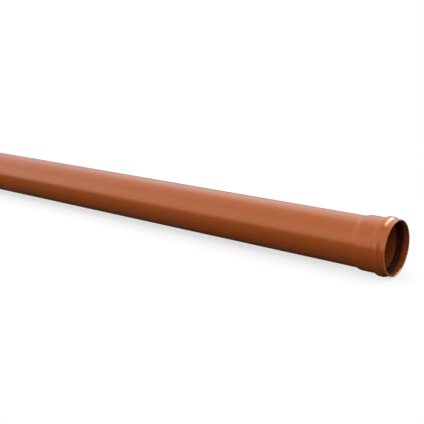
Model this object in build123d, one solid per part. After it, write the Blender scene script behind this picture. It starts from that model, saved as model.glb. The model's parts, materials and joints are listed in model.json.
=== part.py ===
from build123d import *
from math import atan, radians, sin, tan
import os

# A straight length of plastic underground drain pipe. One end is a plain chamfered spigot.
# The other is widened into a push-fit socket: a slightly wider collar at its mouth, and
# behind it a rolled bead that holds a rubber sealing ring. Sizes are in millimetres and
# angles in degrees.

# Barrel and spigot
pipe_diameter = 110.0
pipe_wall = 3.2
laying_length = 2000.0
chamfer_length = 6.0
chamfer_angle = 15.0

# Socket
socket_clearance = 0.3
socket_wall = 3.2
insertion_depth = 66.0
throat_length = 11.0
throat_round = 15.0
collar_swell = 0.8
mouth_round = 0.9
lead_in_length = 1.2
lead_in_height = 0.5

# Groove inside the socket, and the bead that it raises outside. Its near side, next to the
# mouth, slopes gently, and its far side is steeper.
groove_start = 9.6
groove_end = 28.8
groove_depth = 4.3
groove_wall = 2.8
near_flank_angle = 25.0
far_flank_angle = 50.0
groove_edge_round = 0.8
groove_corner_round = 1.5
bead_front_round = 8.0
bead_foot_round = 6.0
bead_crown_round = 3.5

# Sealing ring, drawn with its lip pressed back as a spigot leaves it
seal_gap = 0.2
ring_start = 13.6
ring_crown_start = 17.6
lip_end = 26.0
lip_gap = 0.15
lip_thickness = 1.6
lip_tip_thickness = 0.9
lip_slot = 0.9
heel_width = 4.5
nose_height = 0.7
nose_length = 1.8
ring_corner_round = 1.3

# Radii and places that follow from those sizes
pipe_radius = pipe_diameter / 2
bore_radius = pipe_radius - pipe_wall
socket_radius = pipe_radius + socket_clearance
bell_radius = socket_radius + socket_wall
groove_radius = socket_radius + groove_depth
bead_radius = groove_radius + groove_wall
collar_bore = socket_radius + collar_swell
collar_radius = bell_radius + collar_swell
throat_end = insertion_depth + throat_length
spigot_end = laying_length + insertion_depth
near_slope = radians(near_flank_angle)
far_slope = radians(far_flank_angle)

# The largest share of a straight run that the rounding at one of its ends may use up
rounding_share = 0.45


def revolved(corners):
    """Solid of revolution about the pipe's axis, lying with its bead on the ground.

    Each corner is its depth behind the mouth, its radius and its rounding. A rounding that
    the two runs beside it leave no room for is limited by the shorter of them.
    """
    points = [Vector(spigot_end / 2 - depth, radius, 0) for depth, radius, _ in corners]
    roundings = []
    for index, (_, _, rounding) in enumerate(corners):
        run_in = points[index] - points[index - 1]
        run_out = points[(index + 1) % len(points)] - points[index]
        half_turn = radians(run_in.get_angle(run_out) / 2)
        room = rounding_share * min(run_in.length, run_out.length) / tan(half_turn)
        roundings.append(min(rounding, room))
    section = make_face(FilletPolyline(*points, radius=roundings, close=True))
    return Pos(0, 0, bead_radius) * revolve(section, axis=Axis.X)


def near_flank(radius, moved_out=0.0):
    """Depth where the groove's side next to the mouth, moved out squarely, has a radius."""
    return groove_start + (radius - collar_bore) / tan(near_slope) - moved_out / sin(near_slope)


def far_flank(radius, moved_out=0.0):
    """Depth where the groove's other side, moved out squarely, has a radius."""
    return groove_end - (radius - socket_radius) / tan(far_slope) + moved_out / sin(far_slope)


def pipe():
    """The extruded pipe and its socket, which is formed from the pipe's own wall."""
    # The wall keeps its thickness through a bend, so the outer line turns a little later
    # than the inner one where it narrows to the barrel
    throat_turn = atan((socket_radius - bore_radius) / throat_length)
    throat_shift = tan(throat_turn / 2)
    chamfer_depth = chamfer_length * tan(radians(chamfer_angle))

    outer_line = [
        (0, collar_radius, mouth_round),
        (near_flank(collar_radius, groove_wall), collar_radius, bead_front_round),
        (near_flank(bead_radius, groove_wall), bead_radius, bead_crown_round),
        (far_flank(bead_radius, groove_wall), bead_radius, bead_crown_round),
        (far_flank(bell_radius, groove_wall), bell_radius, bead_foot_round),
        (insertion_depth + socket_wall * throat_shift, bell_radius, throat_round),
        (throat_end + pipe_wall * throat_shift, pipe_radius, throat_round),
        (spigot_end - chamfer_length, pipe_radius, 0),
        (spigot_end, pipe_radius - chamfer_depth, 0),
    ]
    inner_line = [
        (spigot_end, bore_radius, 0),
        (throat_end, bore_radius, throat_round),
        (insertion_depth, socket_radius, throat_round),
        (groove_end, socket_radius, groove_edge_round),
        (far_flank(groove_radius), groove_radius, groove_corner_round),
        (near_flank(groove_radius), groove_radius, groove_corner_round),
        (groove_start, collar_bore, groove_edge_round),
        (lead_in_length, collar_bore, 0),
        (0, collar_bore + lead_in_height, 0),
    ]
    return revolved(outer_line + inner_line)


def sealing_ring():
    """The rubber ring: a heel on the mouth side, and a lip that points into the socket."""
    face_radius = pipe_radius + lip_gap
    nose_radius = face_radius + nose_height
    tip_radius = face_radius + lip_tip_thickness
    slot_radius = face_radius + lip_thickness
    crown_radius = groove_radius - seal_gap
    back = far_flank(slot_radius + lip_slot, -seal_gap)

    return revolved([
        (ring_start, nose_radius, 0),
        (ring_crown_start, crown_radius, ring_corner_round),
        (far_flank(crown_radius, -seal_gap), crown_radius, ring_corner_round),
        (back, slot_radius + lip_slot, 0),
        (ring_start + heel_width, slot_radius, 0),
        (lip_end, tip_radius, 0),
        (lip_end, face_radius, 0),
        (ring_start + nose_length, face_radius, 0),
    ])


os.makedirs("parts", exist_ok=True)
export_step(pipe(), "parts/pipe.step")
export_step(sealing_ring(), "parts/sealing_ring.step")
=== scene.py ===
"""A terracotta plastic drain pipe with a push-fit socket and its rubber ring.

Both pieces are surfaces of revolution about the pipe's axis, which lies along x.
"""

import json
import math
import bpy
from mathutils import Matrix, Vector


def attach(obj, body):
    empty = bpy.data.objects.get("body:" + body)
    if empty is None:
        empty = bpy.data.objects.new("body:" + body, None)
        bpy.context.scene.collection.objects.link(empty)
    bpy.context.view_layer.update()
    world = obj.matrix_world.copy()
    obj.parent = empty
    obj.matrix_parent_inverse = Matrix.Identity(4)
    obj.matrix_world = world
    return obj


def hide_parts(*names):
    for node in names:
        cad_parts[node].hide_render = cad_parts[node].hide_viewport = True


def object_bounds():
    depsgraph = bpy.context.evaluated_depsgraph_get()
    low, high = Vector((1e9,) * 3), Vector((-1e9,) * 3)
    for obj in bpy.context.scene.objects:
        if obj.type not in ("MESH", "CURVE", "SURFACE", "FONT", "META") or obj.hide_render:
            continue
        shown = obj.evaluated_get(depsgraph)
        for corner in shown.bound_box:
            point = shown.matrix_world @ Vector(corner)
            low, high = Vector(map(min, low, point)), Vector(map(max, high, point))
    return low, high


bl_info = {
    "name": "Push-fit Drain Pipe",
    "version": (1, 0, 0),
    "blender": (4, 5, 0),
    "location": "3D View > Sidebar > Drain Pipe",
    "description": "Builds a plastic drain pipe with a ring-seal socket, and a plain studio",
    "category": "Add Mesh",
}

import bpy
import numpy as np
from bpy.props import FloatProperty, FloatVectorProperty, IntProperty, PointerProperty
from mathutils import Euler, Matrix, Vector

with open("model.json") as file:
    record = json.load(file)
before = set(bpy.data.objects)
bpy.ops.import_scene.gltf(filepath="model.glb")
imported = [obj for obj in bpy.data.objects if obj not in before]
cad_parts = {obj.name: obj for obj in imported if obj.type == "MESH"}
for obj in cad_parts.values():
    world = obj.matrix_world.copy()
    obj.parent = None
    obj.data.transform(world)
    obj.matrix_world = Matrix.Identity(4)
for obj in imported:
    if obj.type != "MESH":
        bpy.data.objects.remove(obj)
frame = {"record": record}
cad_low, cad_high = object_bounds()

MM = 0.001


def mount(name):
    """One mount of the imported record."""
    return next(m for m in frame["record"]["mounts"] if m["name"] == name)


# The frame gives the pipe's place and its three fitting radii
MOUTH_X = cad_high.x
SPIGOT_X = cad_low.x
AXIS_Z = mount("socket")["pos_m"][2]
MOUTH_CENTRE = Vector((MOUTH_X, 0.0, AXIS_Z))
PIPE_RADIUS = mount("spigot")["dims"]["r_mm"] * MM
BORE_RADIUS = mount("waterway")["dims"]["r_mm"] * MM
SOCKET_RADIUS = mount("socket")["dims"]["r_mm"] * MM

# Points along a rounded corner, the distance past its ends where one more point stands, and
# the largest share of a straight run that the rounding at one of its ends may use up
ARC_POINTS = 9
ARC_SUPPORT = 0.6 * MM
ROUNDING_SHARE = 0.45

# Patterns in the surfaces. Each is even noise with a scale per metre, the stretch that makes
# it finer or coarser along x, y and z, and its layers of detail
EVEN = (1.0, 1.0, 1.0)
DIE_LINES = {"scale": 1.0, "stretch": (1.2, 300.0, 300.0), "detail": 4.0}
CLOUDS = {"scale": 7.0, "stretch": (0.5, 2.0, 2.0), "detail": 3.0}
RIPPLE = {"scale": 90.0, "stretch": (0.25, 1.0, 1.0), "detail": 2.0}
PLASTIC_GRAIN = {"scale": 1500.0, "stretch": EVEN, "detail": 1.0}
BLOOM = {"scale": 60.0, "stretch": EVEN, "detail": 4.0}
RUBBER_GRAIN = {"scale": 2500.0, "stretch": EVEN, "detail": 2.0}

# The values that one noise mostly keeps to, those that the sum of the plastic's lines, clouds
# and grain keeps to, and those between which the rubber's bloom fades in
NOISE_RANGE = (0.3, 0.7)
TONE_RANGE = (1.1, 1.9)
BLOOM_RANGE = (0.45, 0.8)

# What a pattern adds to the roughness, at its lowest and at its highest
DIE_LINE_ROUGHNESS = (-0.015, 0.015)
CLOUD_ROUGHNESS = (-0.02, 0.03)
BLOOM_ROUGHNESS = (-0.05, 0.1)

# The patterns' shares in the plastic's relief, and the relief of the plastic and the rubber
DIE_LINE_HEIGHT = 0.15
RIPPLE_HEIGHT = 0.6
PLASTIC_RELIEF = {"Strength": 0.06, "Distance": 0.1 * MM}
RUBBER_RELIEF = {"Strength": 0.3, "Distance": 0.05 * MM}

# Length over which the chamfer's cut colour fades in, and the depths behind the mouth between
# which the trimmed edge's does. At the mouth's rounded edge the paler cut colour is partly a
# painted highlight
CHAMFER_FADE = 0.3 * MM
TRIM_AND_HIGHLIGHT_START = 0.5 * MM
TRIM_AND_HIGHLIGHT_FULL = 0.1 * MM

# How far the squared distance along the pipe counts towards the edge of the floor's shadow
SHADOW_ALONG = 0.22

# The sensor of the camera, in the millimetres that its focal length has
SENSOR_WIDTH = 36.0

# The soft lights in the world, by the names that their settings start with
SOFT_LIGHTS = ("side", "window", "back", "front")


def length(name, description, default):
    """A length in metres, as a user would change it."""
    return FloatProperty(name=name, description=description, default=default, min=0.0,
                         precision=5, unit="LENGTH", subtype="DISTANCE")


def angle(name, description, degrees):
    """An angle, given in degrees."""
    return FloatProperty(name=name, description=description, default=math.radians(degrees),
                         subtype="ANGLE")


def facets(name, description, default):
    """A number of facets round the axis."""
    return IntProperty(name=name, description=description, default=default, min=24, max=512)


def share(name, description, default):
    """A plain number from 0 to 1."""
    return FloatProperty(name=name, description=description, default=default, min=0.0, max=1.0,
                         subtype="FACTOR")


def amount(name, description, default):
    """A plain number from 0 up, such as a radiance."""
    return FloatProperty(name=name, description=description, default=default, min=0.0)


def colour(name, description, default):
    """A linear colour without transparency."""
    return FloatVectorProperty(name=name, description=description, default=default, size=3,
                               min=0.0, max=1.0, subtype="COLOR")


def direction(name, description, default):
    """A direction, of any length."""
    return FloatVectorProperty(name=name, description=description, default=default, size=3,
                               subtype="DIRECTION")


def offset(name, description, default):
    """A step in metres along x, y and z."""
    return FloatVectorProperty(name=name, description=description, default=default, size=3,
                               subtype="TRANSLATION", unit="LENGTH")


class PipeSizes(bpy.types.PropertyGroup):
    """Sizes of the pipe and of the socket formed on its end."""

    pipe_radius: length("Pipe radius", "Outer radius of the barrel", PIPE_RADIUS)
    bore_radius: length("Bore radius", "Radius of the waterway", BORE_RADIUS)
    socket_radius: length("Socket radius", "Inner radius of the socket", SOCKET_RADIUS)
    overall_length: length("Overall length", "From mouth to spigot end", MOUTH_X - SPIGOT_X)
    chamfer_length: length("Chamfer length", "Length of the spigot's chamfer", 6.0 * MM)
    chamfer_angle: angle("Chamfer angle", "Slope of the chamfer", 15.0)
    socket_wall: length("Socket wall", "Wall of the socket's straight part", 3.2 * MM)
    insertion_depth: length("Insertion depth", "Depth that a spigot enters", 66.0 * MM)
    throat_length: length("Throat length", "Length over which the bore narrows", 11.0 * MM)
    throat_round: length("Throat rounding", "Rounding at the throat's two bends", 15.0 * MM)
    collar_swell: length("Collar swell", "How much wider the collar at the mouth is", 0.8 * MM)
    mouth_round: length("Mouth rounding", "Rounding of the mouth's outer edge", 0.9 * MM)
    lead_in_length: length("Lead-in length", "Length of the mouth's inner bevel", 1.2 * MM)
    lead_in_height: length("Lead-in height", "Height of the mouth's inner bevel", 0.5 * MM)
    groove_start: length("Groove start", "Mouth to the ring's groove", 9.6 * MM)
    groove_end: length("Groove end", "Mouth to the groove's far edge", 28.8 * MM)
    groove_depth: length("Groove depth", "Socket wall to the groove's floor", 4.3 * MM)
    groove_wall: length("Groove wall", "Wall round the groove", 2.8 * MM)
    near_flank_angle: angle("Near flank angle", "Slope of the groove's side next to the mouth",
                            25.0)
    far_flank_angle: angle("Far flank angle", "Slope of the groove's other side", 50.0)
    groove_edge_round: length("Groove edge", "Rounding of the groove's opening", 0.8 * MM)
    groove_corner_round: length("Groove corner", "Rounding of the groove's floor", 1.5 * MM)
    bead_foot_round: length("Bead foot", "Rounding at the back foot of the bead", 6.0 * MM)
    bead_front_round: length("Bead front", "Rounding at the front foot of the bead", 8.0 * MM)
    bead_crown_round: length("Bead crown", "Rounding at the top of the bead", 3.5 * MM)
    cut_edge_round: length("Cut edge", "Break of the sawn edges", 0.2 * MM)
    segments: facets("Segments", "Facets round the pipe", 192)


class SealSizes(bpy.types.PropertyGroup):
    """Sizes of the rubber ring, with its lip as it springs before a spigot is pushed in."""

    seat_gap: length("Seat gap", "Gap between the ring and its groove", 0.2 * MM)
    heel_width: length("Heel width", "Width of the solid part on the mouth side", 4.5 * MM)
    nose_depth: length("Nose depth", "Mouth to the ring's front edge", 13.6 * MM)
    crown_depth: length("Crown depth", "Mouth to the front of the ring's crown", 17.6 * MM)
    lip_depth: length("Lip depth", "Mouth to the tip of the lip", 26.0 * MM)
    nose_radius: length("Nose radius", "Radius of the ring's front edge", 55.7 * MM)
    lip_radius: length("Lip radius", "Inner radius of the free lip's tip", 53.4 * MM)
    lip_thickness: length("Lip thickness", "Thickness of the lip's tip", 1.1 * MM)
    slot_height: length("Slot height", "Height of the slot's opening behind the lip", 1.9 * MM)
    corner_round: length("Corner rounding", "Rounding against the groove's floor", 1.3 * MM)
    edge_round: length("Edge rounding", "Rounding of the ring's other edges", 0.3 * MM)
    segments: facets("Segments", "Facets round the ring", 192)


class PipeFinish(bpy.types.PropertyGroup):
    """Colours and surface of the plastic and the rubber."""

    terracotta: colour("Terracotta", "Colour of the plastic", (0.275, 0.056, 0.0095))
    terracotta_deep: colour("Deep terracotta", "Colour of its darker streaks",
                            (0.266, 0.053, 0.0085))
    gloss_tint: colour("Gloss tint", "Colour of a reflection seen straight on",
                       (1.0, 0.50, 0.27))
    roughness: share("Roughness", "Roughness of the extruded plastic", 0.26)
    plastic_ior: amount("Plastic IOR", "Index of refraction of the plastic", 1.53)
    plastic_gloss: share("Plastic gloss", "Strength of the plastic's reflection", 0.8)
    cut_roughness: share("Cut roughness", "Roughness of the sawn and turned ends", 0.62)
    # The sawn ends' own paler colour, which at the mouth's edge also paints a highlight
    cut_face_and_highlight: colour("Cut face", "Colour of the sawn and turned ends", (0.520, 0.205, 0.110))
    rubber: colour("Rubber", "Colour of the ring", (0.022, 0.005, 0.002))
    rubber_bloom: amount("Rubber bloom", "How many times paler the ring's bloom is", 1.8)
    rubber_roughness: share("Rubber roughness", "Roughness of the ring", 0.70)
    rubber_gloss: share("Rubber gloss", "Strength of the ring's reflection", 0.15)


class StudioSettings(bpy.types.PropertyGroup):
    """Camera, lights and floor."""

    camera_offset: offset("Camera offset", "From the mouth's centre to the camera",
                          (0.6296, -1.3880, 0.4432))
    camera_turn: angle("Camera turn", "Turn of the view about the vertical", 38.609)
    camera_dip: angle("Camera dip", "Fall of the view below the horizon", 13.994)
    camera_roll: angle("Camera roll", "Tilt of the view about its own axis", 0.135)
    focal_length: FloatProperty(name="Focal length", description="Lens of the camera",
                                default=64.75, unit="CAMERA")

    fill_strength: amount("Fill", "Radiance that comes from all round", 0.44)

    side_strength: amount("Side light", "Radiance that the broad light at the left adds", 1.10)
    side_direction: direction("Side direction", "Middle of the broad light",
                              (-0.76, -0.50, 0.30))
    side_core: angle("Side core", "Angle from its middle within which it is full", 30.0)
    side_reach: angle("Side reach", "Angle from its middle at which it has faded out", 90.0)

    window_strength: amount("Window", "Radiance that a low window adds at front left", 0.75)
    window_direction: direction("Window direction", "Middle of the low window",
                                (-0.62, -0.76, 0.15))
    window_core: angle("Window core", "Angle from its middle within which it is full", 12.0)
    window_reach: angle("Window reach", "Angle from its middle at which it has faded out", 38.0)

    back_strength: amount("Back light", "Radiance that a soft light adds behind", 1.50)
    back_direction: direction("Back direction", "Middle of the light behind",
                              (-0.20, 0.68, 0.71))
    back_core: angle("Back core", "Angle from its middle within which it is full", 12.0)
    back_reach: angle("Back reach", "Angle from its middle at which it has faded out", 45.0)

    front_strength: amount("Front light", "Radiance that a soft light adds in front", 1.5)
    front_direction: direction("Front direction", "Middle of the light in front",
                               (0.43, -0.60, 0.68))
    front_core: angle("Front core", "Angle from its middle within which it is full", 12.0)
    front_reach: angle("Front reach", "Angle from its middle at which it has faded out", 40.0)

    strip_strength: amount("Strip lamp", "Radiance of the narrow lamp above the bead", 15.0)
    strip_top: offset("Strip top", "From the mouth's centre to its upper end",
                      (0.80, 0.30, 2.75))
    strip_bottom: offset("Strip bottom", "From the mouth's centre to its lower end",
                         (-0.15, 2.60, 1.45))
    strip_width: length("Strip width", "Width of the narrow lamp", 0.45)

    floor_half: length("Floor half width", "From the middle of the floor to its sides", 20.0)
    floor_lit: colour("Lit floor", "Colour of the floor where it takes a shadow",
                      (0.9, 0.9, 0.9))
    floor_bounce: colour("Floor bounce", "Colour of the floor as the pipe sees it",
                         (0.10, 0.09, 0.08))
    shadow_depth: share("Shadow depth", "How much of the floor's white is lamp light", 0.35)
    shadow_reach: length("Shadow reach", "Half width of the floor that takes a shadow", 0.9)
    shadow_core: share("Shadow core", "Share of that reach before the shadow fades", 0.4)


def rounded_loop(corners):
    """Closed outline of straight runs and round corners, as an array of (depth, radius).

    Each corner is its depth, its radius from the axis and its rounding r. A corner that turns
    by 2h is replaced by an arc of radius r, whose ends lie r tan(h) along the two runs and
    whose centre lies square to them, on the side of the turn. r tan(h) is kept under the
    rounding share of the shorter run. One more point stands on each run just past each arc's
    end, so that the shading of the arc doesn't spread over the run.
    """
    corners = np.asarray(corners, float)
    point, rounding = corners[:, :2], corners[:, 2]
    run_in = point - np.roll(point, 1, axis=0)
    run_out = np.roll(point, -1, axis=0) - point
    length_in = np.linalg.norm(run_in, axis=1)
    length_out = np.linalg.norm(run_out, axis=1)
    into = run_in / length_in[:, None]
    out = run_out / length_out[:, None]

    cross = into[:, 0] * out[:, 1] - into[:, 1] * out[:, 0]
    turn = np.arctan2(cross, np.sum(into * out, axis=1))
    slope = np.tan(np.abs(turn) / 2)
    room = ROUNDING_SHARE * np.minimum(length_in, length_out) / slope
    rounding = np.minimum(rounding, room)
    reach = rounding * slope

    side = np.column_stack([-into[:, 1], into[:, 0]]) * np.sign(turn)[:, None]
    start = point - into * reach[:, None]
    centre = start + side * rounding[:, None]
    spoke = start - centre
    swept = turn[:, None] * np.linspace(0.0, 1.0, ARC_POINTS)
    arc = np.stack([
        centre[:, :1] + spoke[:, :1] * np.cos(swept) - spoke[:, 1:] * np.sin(swept),
        centre[:, 1:] + spoke[:, :1] * np.sin(swept) + spoke[:, 1:] * np.cos(swept),
    ], axis=2)

    straight = length_out - reach - np.roll(reach, -1)
    margin = np.minimum(ARC_SUPPORT, straight / 3)
    leaving = point + out * (reach + margin)[:, None]
    arriving = point + out * (reach + straight - margin)[:, None]
    return np.concatenate([arc, leaving[:, None], arriving[:, None]], axis=1).reshape(-1, 2)


def turned_surface(name, outline, segments):
    """Closed surface made by turning an outline about the pipe's axis.

    With s the depth behind the mouth and r the radius of an outline point, and a the angle
    round the axis, the surface is x = mouth - s, y = r cos a, z = axis height + r sin a.
    Both the outline and the turn close on themselves, so every edge has two faces.
    """
    turn = np.linspace(0.0, 2 * np.pi, segments, endpoint=False)
    depth, radius = outline[:, :1], outline[:, 1:]
    place = np.stack([
        np.broadcast_to(MOUTH_X - depth, (len(outline), segments)),
        radius * np.cos(turn),
        AXIS_Z + radius * np.sin(turn),
    ], axis=2).reshape(-1, 3)

    ring, step = np.meshgrid(np.arange(len(outline)), np.arange(segments), indexing="ij")
    next_ring = (ring + 1) % len(outline)
    next_step = (step + 1) % segments
    faces = np.stack([
        ring * segments + step,
        next_ring * segments + step,
        next_ring * segments + next_step,
        ring * segments + next_step,
    ], axis=2).reshape(-1, 4)

    mesh = bpy.data.meshes.new(name)
    mesh.from_pydata(place, [], faces)
    mesh.polygons.foreach_set("use_smooth", np.ones(len(faces), bool))
    mesh.update()
    piece = bpy.data.objects.new(name, mesh)
    bpy.context.scene.collection.objects.link(piece)
    return piece


def near_flank(sizes, radius, moved_out=0.0):
    """Depth where the groove's side next to the mouth, moved out squarely, has a radius.

    It is the groove's start, plus the radius above the collar's bore over the slope's
    tangent, less the move over the slope's sine.
    """
    collar_bore = sizes.socket_radius + sizes.collar_swell
    climb = (radius - collar_bore) / math.tan(sizes.near_flank_angle)
    return sizes.groove_start + climb - moved_out / math.sin(sizes.near_flank_angle)


def far_flank(sizes, radius, moved_out=0.0):
    """Depth where the groove's other side, moved out squarely, has a radius.

    It is the groove's end, less the radius above the socket's bore over the slope's tangent,
    plus the move over the slope's sine.
    """
    climb = (radius - sizes.socket_radius) / math.tan(sizes.far_flank_angle)
    return sizes.groove_end - climb + moved_out / math.sin(sizes.far_flank_angle)


def pipe_outline(sizes):
    """Section of the pipe's wall: along its outside from the mouth, and back along its inside.

    The bead's outside is the groove's inside moved out squarely by the wall round it. At the
    throat the outer line turns later than the inner one, by the wall times the tangent of
    half the turn, so that the wall keeps its thickness.
    """
    bell_radius = sizes.socket_radius + sizes.socket_wall
    collar_bore = sizes.socket_radius + sizes.collar_swell
    collar_radius = bell_radius + sizes.collar_swell
    groove_radius = sizes.socket_radius + sizes.groove_depth
    bead_radius = groove_radius + sizes.groove_wall
    throat_end = sizes.insertion_depth + sizes.throat_length
    narrowing = sizes.socket_radius - sizes.bore_radius
    throat_shift = math.tan(math.atan(narrowing / sizes.throat_length) / 2)
    pipe_wall = sizes.pipe_radius - sizes.bore_radius
    chamfer_depth = sizes.chamfer_length * math.tan(sizes.chamfer_angle)
    end = sizes.overall_length
    wall = sizes.groove_wall
    cut = sizes.cut_edge_round

    outside = [
        (0.0, collar_radius, sizes.mouth_round),
        (near_flank(sizes, collar_radius, wall), collar_radius, sizes.bead_front_round),
        (near_flank(sizes, bead_radius, wall), bead_radius, sizes.bead_crown_round),
        (far_flank(sizes, bead_radius, wall), bead_radius, sizes.bead_crown_round),
        (far_flank(sizes, bell_radius, wall), bell_radius, sizes.bead_foot_round),
        (sizes.insertion_depth + sizes.socket_wall * throat_shift, bell_radius,
         sizes.throat_round),
        (throat_end + pipe_wall * throat_shift, sizes.pipe_radius, sizes.throat_round),
        (end - sizes.chamfer_length, sizes.pipe_radius, cut),
        (end, sizes.pipe_radius - chamfer_depth, cut),
    ]
    inside = [
        (end, sizes.bore_radius, cut),
        (throat_end, sizes.bore_radius, sizes.throat_round),
        (sizes.insertion_depth, sizes.socket_radius, sizes.throat_round),
        (sizes.groove_end, sizes.socket_radius, sizes.groove_edge_round),
        (far_flank(sizes, groove_radius), groove_radius, sizes.groove_corner_round),
        (near_flank(sizes, groove_radius), groove_radius, sizes.groove_corner_round),
        (sizes.groove_start, collar_bore, sizes.groove_edge_round),
        (sizes.lead_in_length, collar_bore, cut),
        (0.0, collar_bore + sizes.lead_in_height, cut),
    ]
    return rounded_loop(outside + inside)


def seal_outline(sizes, seal):
    """Section of the ring: its heel and back in the groove, then the slot and the free lip.

    The crown and the back are the groove's floor and far side, moved in squarely by the seat
    gap. The slot's foot lies halfway between the nose and the slot's top.
    """
    gap = -seal.seat_gap
    crown = sizes.socket_radius + sizes.groove_depth - seal.seat_gap
    slot_top = seal.lip_radius + seal.lip_thickness + seal.slot_height
    slot_foot = (seal.nose_radius + slot_top) / 2
    nose = seal.nose_depth
    tip = seal.lip_depth
    edge = seal.edge_round
    return rounded_loop([
        (nose, seal.nose_radius, edge),
        (seal.crown_depth, crown, seal.corner_round),
        (far_flank(sizes, crown, gap), crown, seal.corner_round),
        (far_flank(sizes, slot_top, gap), slot_top, edge),
        (nose + seal.heel_width, slot_foot, edge),
        (tip, seal.lip_radius + seal.lip_thickness, edge),
        (tip, seal.lip_radius, edge),
    ])


def feed(tree, socket, value):
    """Links another node's output to an input, or sets the input to a value."""
    if isinstance(value, bpy.types.NodeSocket):
        tree.links.new(value, socket)
    else:
        socket.default_value = value


def shader_node(tree, kind, inputs):
    """Adds one node, and feeds its inputs by their names."""
    made = tree.nodes.new(kind)
    for name, value in inputs.items():
        feed(tree, made.inputs[name], value)
    return made


def opaque(shade):
    """A colour with the fourth number that a shader's colour has."""
    return (*shade, 1.0)


def new_material(name):
    """An empty node material, its tree and its output node."""
    material = bpy.data.materials.new(name)
    material.use_nodes = True
    tree = material.node_tree
    tree.nodes.clear()
    return material, tree, tree.nodes.new("ShaderNodeOutputMaterial")


def noise(tree, place, scale, stretch, detail):
    """Even noise in object coordinates, multiplied along each axis by the stretch."""
    stretched = shader_node(tree, "ShaderNodeMapping", {"Vector": place, "Scale": stretch})
    return shader_node(tree, "ShaderNodeTexNoise", {
        "Vector": stretched.outputs["Vector"], "Scale": scale, "Detail": detail,
    }).outputs["Fac"]


def ramp(tree, source, source_range, result_range):
    """A value carried from one range to another, and held at its ends."""
    return shader_node(tree, "ShaderNodeMapRange", {
        "Value": source,
        "From Min": source_range[0],
        "From Max": source_range[1],
        "To Min": result_range[0],
        "To Max": result_range[1],
    }).outputs["Result"]


def maths(tree, operation, first, second):
    """Two values joined by one operation of the Math node."""
    made = tree.nodes.new("ShaderNodeMath")
    made.operation = operation
    feed(tree, made.inputs[0], first)
    feed(tree, made.inputs[1], second)
    return made.outputs["Value"]


def total(tree, first, *others):
    """The sum of several values, added from the left."""
    for other in others:
        first = maths(tree, "ADD", first, other)
    return first


def mix_colour(tree, factor, first, second):
    """A colour between two others, by a factor."""
    made = tree.nodes.new("ShaderNodeMix")
    made.data_type = "RGBA"
    feed(tree, made.inputs["Factor"], factor)
    sockets = [socket for socket in made.inputs if socket.type == "RGBA"]
    feed(tree, sockets[0], first)
    feed(tree, sockets[1], second)
    return next(socket for socket in made.outputs if socket.type == "RGBA")


def mix_shader(tree, factor, first, second):
    """A surface between two others, by a factor."""
    made = shader_node(tree, "ShaderNodeMixShader", {"Fac": factor})
    feed(tree, made.inputs[1], first)
    feed(tree, made.inputs[2], second)
    return made.outputs["Shader"]


def pvc_material(sizes, finish):
    """Extruded terracotta plastic: satin, with faint lines along the pipe and matt cut ends."""
    material, tree, output = new_material("terracotta_pvc")
    place = tree.nodes.new("ShaderNodeTexCoord").outputs["Object"]
    along = shader_node(tree, "ShaderNodeSeparateXYZ", {"Vector": place}).outputs["X"]

    die_lines = noise(tree, place, **DIE_LINES)
    clouds = noise(tree, place, **CLOUDS)
    grain = noise(tree, place, **PLASTIC_GRAIN)
    ripple = noise(tree, place, **RIPPLE)

    # The cut ends: the spigot's turned chamfer and sawn face, and the mouth's trimmed edge,
    # where the paler cut colour is partly a painted highlight along the rounded edge
    chamfer_start = SPIGOT_X + sizes.chamfer_length
    chamfer = ramp(tree, along, (chamfer_start, chamfer_start - CHAMFER_FADE), (0.0, 1.0))
    trim_and_highlight = ramp(tree, along, (MOUTH_X - TRIM_AND_HIGHLIGHT_START, MOUTH_X - TRIM_AND_HIGHLIGHT_FULL), (0.0, 1.0))
    cut = total(tree, chamfer, trim_and_highlight)

    tone = ramp(tree, total(tree, die_lines, clouds, grain), TONE_RANGE, (0.0, 1.0))
    skin = mix_colour(tree, tone, opaque(finish.terracotta_deep), opaque(finish.terracotta))
    # The paler cut colour: the sawn ends' own, and at the mouth partly a painted highlight
    body = mix_colour(tree, cut, skin, opaque(finish.cut_face_and_highlight))

    rough = total(
        tree,
        ramp(tree, die_lines, NOISE_RANGE, DIE_LINE_ROUGHNESS),
        finish.roughness,
        ramp(tree, clouds, NOISE_RANGE, CLOUD_ROUGHNESS),
        maths(tree, "MULTIPLY", cut, finish.cut_roughness - finish.roughness),
    )
    height = total(
        tree,
        maths(tree, "MULTIPLY", die_lines, DIE_LINE_HEIGHT),
        maths(tree, "MULTIPLY", ripple, RIPPLE_HEIGHT),
    )
    relief = shader_node(tree, "ShaderNodeBump", {"Height": height, **PLASTIC_RELIEF})

    plastic = shader_node(tree, "ShaderNodeBsdfPrincipled", {
        "Base Color": body,
        "Roughness": rough,
        "Normal": relief.outputs["Normal"],
        "IOR": finish.plastic_ior,
        "Specular IOR Level": finish.plastic_gloss,
        "Specular Tint": opaque(finish.gloss_tint),
    })
    feed(tree, output.inputs["Surface"], plastic.outputs["BSDF"])
    return material


def rubber_material(finish):
    """Moulded black rubber with a faint bloom."""
    material, tree, output = new_material("seal_rubber")
    place = tree.nodes.new("ShaderNodeTexCoord").outputs["Object"]
    bloom = noise(tree, place, **BLOOM)
    grain = noise(tree, place, **RUBBER_GRAIN)

    paler = [finish.rubber_bloom * channel for channel in finish.rubber]
    faded = ramp(tree, bloom, BLOOM_RANGE, (0.0, 1.0))
    body = mix_colour(tree, faded, opaque(finish.rubber), opaque(paler))
    rough = total(tree, ramp(tree, bloom, NOISE_RANGE, BLOOM_ROUGHNESS), finish.rubber_roughness)
    relief = shader_node(tree, "ShaderNodeBump", {"Height": grain, **RUBBER_RELIEF})

    rubber = shader_node(tree, "ShaderNodeBsdfPrincipled", {
        "Base Color": body,
        "Roughness": rough,
        "Normal": relief.outputs["Normal"],
        "Specular IOR Level": finish.rubber_gloss,
    })
    feed(tree, output.inputs["Surface"], rubber.outputs["BSDF"])
    return material


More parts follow.
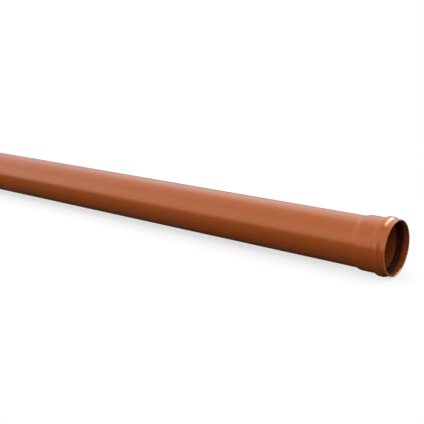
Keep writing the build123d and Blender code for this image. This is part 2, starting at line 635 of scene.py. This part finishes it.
def floor_material(studio):
    """A floor that the camera sees as white with the pipe's shadow, and the pipe as dim.

    The floor takes the shadow within an ellipse. Its measure is the root of y squared plus
    x squared times the share for distance along the pipe, and the shadow fades out between
    the core's share of the reach and the reach.
    """
    material, tree, output = new_material("pale_floor")
    place = tree.nodes.new("ShaderNodeTexCoord").outputs["Object"]
    split = shader_node(tree, "ShaderNodeSeparateXYZ", {"Vector": place})
    along, across = (
        maths(tree, "MULTIPLY", split.outputs[axis], split.outputs[axis]) for axis in "XY"
    )
    along = maths(tree, "MULTIPLY", along, SHADOW_ALONG)
    away = maths(tree, "POWER", total(tree, along, across), 0.5)
    depth = ramp(tree, away, (studio.shadow_reach * studio.shadow_core, studio.shadow_reach),
                 (studio.shadow_depth, 0.0))

    white = shader_node(tree, "ShaderNodeEmission", {})
    lit = shader_node(tree, "ShaderNodeBsdfDiffuse", {"Color": opaque(studio.floor_lit)})
    dim = shader_node(tree, "ShaderNodeBsdfDiffuse", {"Color": opaque(studio.floor_bounce)})
    seen = mix_shader(tree, depth, white.outputs["Emission"], lit.outputs["BSDF"])
    from_camera = tree.nodes.new("ShaderNodeLightPath").outputs["Is Camera Ray"]
    either = mix_shader(tree, from_camera, dim.outputs["BSDF"], seen)
    feed(tree, output.inputs["Surface"], either)
    return material


def soft_light(tree, ray, middle, core, reach, strength):
    """Radiance that is full within one angle of a direction and faded out at another.

    It is a smooth step of the cosine of the angle between the ray and the middle.
    """
    nearness = tree.nodes.new("ShaderNodeVectorMath")
    nearness.operation = "DOT_PRODUCT"
    feed(tree, nearness.inputs[0], ray)
    feed(tree, nearness.inputs[1], Vector(middle).normalized())
    light = ramp(tree, nearness.outputs["Value"], (math.cos(reach), math.cos(core)),
                 (0.0, strength))
    light.node.interpolation_type = "SMOOTHSTEP"
    return light


def studio_world(studio):
    """Even fill from all round with four soft lights in it, seen by the camera as white."""
    world = bpy.data.worlds.new("studio")
    world.use_nodes = True
    tree = world.node_tree
    tree.nodes.clear()
    output = tree.nodes.new("ShaderNodeOutputWorld")
    ray = tree.nodes.new("ShaderNodeTexCoord").outputs["Generated"]
    radiance = studio.fill_strength
    for name in SOFT_LIGHTS:
        settings = (getattr(studio, f"{name}_{part}")
                    for part in ("direction", "core", "reach", "strength"))
        radiance = maths(tree, "ADD", radiance, soft_light(tree, ray, *settings))

    from_camera = tree.nodes.new("ShaderNodeLightPath").outputs["Is Camera Ray"]
    strength = shader_node(tree, "ShaderNodeMix", {
        "Factor": from_camera, "A": radiance, "B": 1.0,
    }).outputs["Result"]
    light = shader_node(tree, "ShaderNodeBackground", {
        "Color": opaque((1.0, 1.0, 1.0)), "Strength": strength,
    })
    feed(tree, output.inputs["Surface"], light.outputs["Background"])
    bpy.context.scene.world = world


def gloss_strip(studio):
    """A narrow lamp between two points above the bead, which shows only in reflections.

    Its power is its radiance times pi times its area.
    """
    top = Vector(studio.strip_top)
    bottom = Vector(studio.strip_bottom)
    middle = (top + bottom) / 2
    lengthwise = (top - bottom).normalized()
    across = lengthwise.cross(middle).normalized()
    outward = across.cross(lengthwise)

    lamp = bpy.data.lights.new("strip_lamp", "AREA")
    lamp.shape = "RECTANGLE"
    lamp.size = studio.strip_width
    lamp.size_y = (top - bottom).length
    lamp.energy = studio.strip_strength * math.pi * lamp.size * lamp.size_y
    strip = bpy.data.objects.new("strip_lamp", lamp)
    strip.location = MOUTH_CENTRE + middle
    strip.rotation_euler = Matrix((across, lengthwise, outward)).transposed().to_euler()
    strip.visible_diffuse = False
    bpy.context.scene.collection.objects.link(strip)


def studio_floor(studio):
    """A flat square floor at the height of the bead's lowest point."""
    half = studio.floor_half
    corners = [(-half, -half, 0), (half, -half, 0), (half, half, 0), (-half, half, 0)]
    mesh = bpy.data.meshes.new("studio_floor")
    mesh.from_pydata(corners, [], [(0, 1, 2, 3)])
    mesh.materials.append(floor_material(studio))
    floor = bpy.data.objects.new("studio_floor", mesh)
    bpy.context.scene.collection.objects.link(floor)
    return floor


def studio_camera(studio):
    """The camera at the photograph's viewing angle, placed from the mouth's centre.

    It is turned about the vertical, dipped below the horizon and rolled about its own axis.
    """
    lens = bpy.data.cameras.new("camera")
    lens.lens = studio.focal_length
    lens.sensor_width = SENSOR_WIDTH
    camera = bpy.data.objects.new("camera", lens)
    camera.location = MOUTH_CENTRE + Vector(studio.camera_offset)
    level = Euler((math.pi / 2 - studio.camera_dip, 0.0, studio.camera_turn)).to_matrix()
    tilted = level @ Matrix.Rotation(studio.camera_roll, 3, "Z")
    camera.rotation_euler = tilted.to_euler()
    bpy.context.scene.collection.objects.link(camera)
    return camera


class DRAINPIPE_OT_pipe(bpy.types.Operator):
    """Build the pipe with its socket"""

    bl_idname = "drainpipe.pipe"
    bl_label = "Pipe"

    def execute(self, context):
        scene = context.scene
        sizes = scene.pipe_sizes
        piece = turned_surface("drain_pipe", pipe_outline(sizes), sizes.segments)
        piece.data.materials.append(pvc_material(sizes, scene.pipe_finish))
        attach(piece, "root")
        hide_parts("pipe")
        return {"FINISHED"}


class DRAINPIPE_OT_seal(bpy.types.Operator):
    """Build the rubber ring in the socket's groove"""

    bl_idname = "drainpipe.seal"
    bl_label = "Sealing ring"

    def execute(self, context):
        scene = context.scene
        outline = seal_outline(scene.pipe_sizes, scene.seal_sizes)
        piece = turned_surface("rubber_seal", outline, scene.seal_sizes.segments)
        piece.data.materials.append(rubber_material(scene.pipe_finish))
        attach(piece, "root")
        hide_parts("sealing_ring")
        return {"FINISHED"}


class DRAINPIPE_OT_studio(bpy.types.Operator):
    """Set up the floor, the lights and the camera"""

    bl_idname = "drainpipe.studio"
    bl_label = "Studio"

    def execute(self, context):
        scene = context.scene
        studio = scene.pipe_studio
        scene.view_settings.view_transform = "Standard"
        floor = studio_floor(studio)
        studio_world(studio)
        gloss_strip(studio)
        scene.camera = studio_camera(studio)
        return {"FINISHED"}


class DRAINPIPE_PT_panel(bpy.types.Panel):
    """The drain pipe's pieces, in the 3D view's sidebar"""

    bl_idname = "DRAINPIPE_PT_panel"
    bl_label = "Drain Pipe"
    bl_space_type = "VIEW_3D"
    bl_region_type = "UI"
    bl_category = "Drain Pipe"

    def draw(self, context):
        for operator in OPERATORS:
            self.layout.operator(operator.bl_idname)


GROUPS = {
    "pipe_sizes": PipeSizes,
    "seal_sizes": SealSizes,
    "pipe_finish": PipeFinish,
    "pipe_studio": StudioSettings,
}
OPERATORS = (DRAINPIPE_OT_studio, DRAINPIPE_OT_pipe, DRAINPIPE_OT_seal)
CLASSES = (*GROUPS.values(), *OPERATORS, DRAINPIPE_PT_panel)


def register():
    """Adds the classes, and one set of each kind of setting to every scene."""
    for cls in CLASSES:
        bpy.utils.register_class(cls)
    for name, group in GROUPS.items():
        setattr(bpy.types.Scene, name, PointerProperty(type=group))


def unregister():
    """Takes away what register added."""
    for name in GROUPS:
        delattr(bpy.types.Scene, name)
    for cls in reversed(CLASSES):
        bpy.utils.unregister_class(cls)


def main():
    register()
    bpy.ops.drainpipe.studio()
    bpy.ops.drainpipe.pipe()
    bpy.ops.drainpipe.seal()


if __name__ == "__main__":
    main()
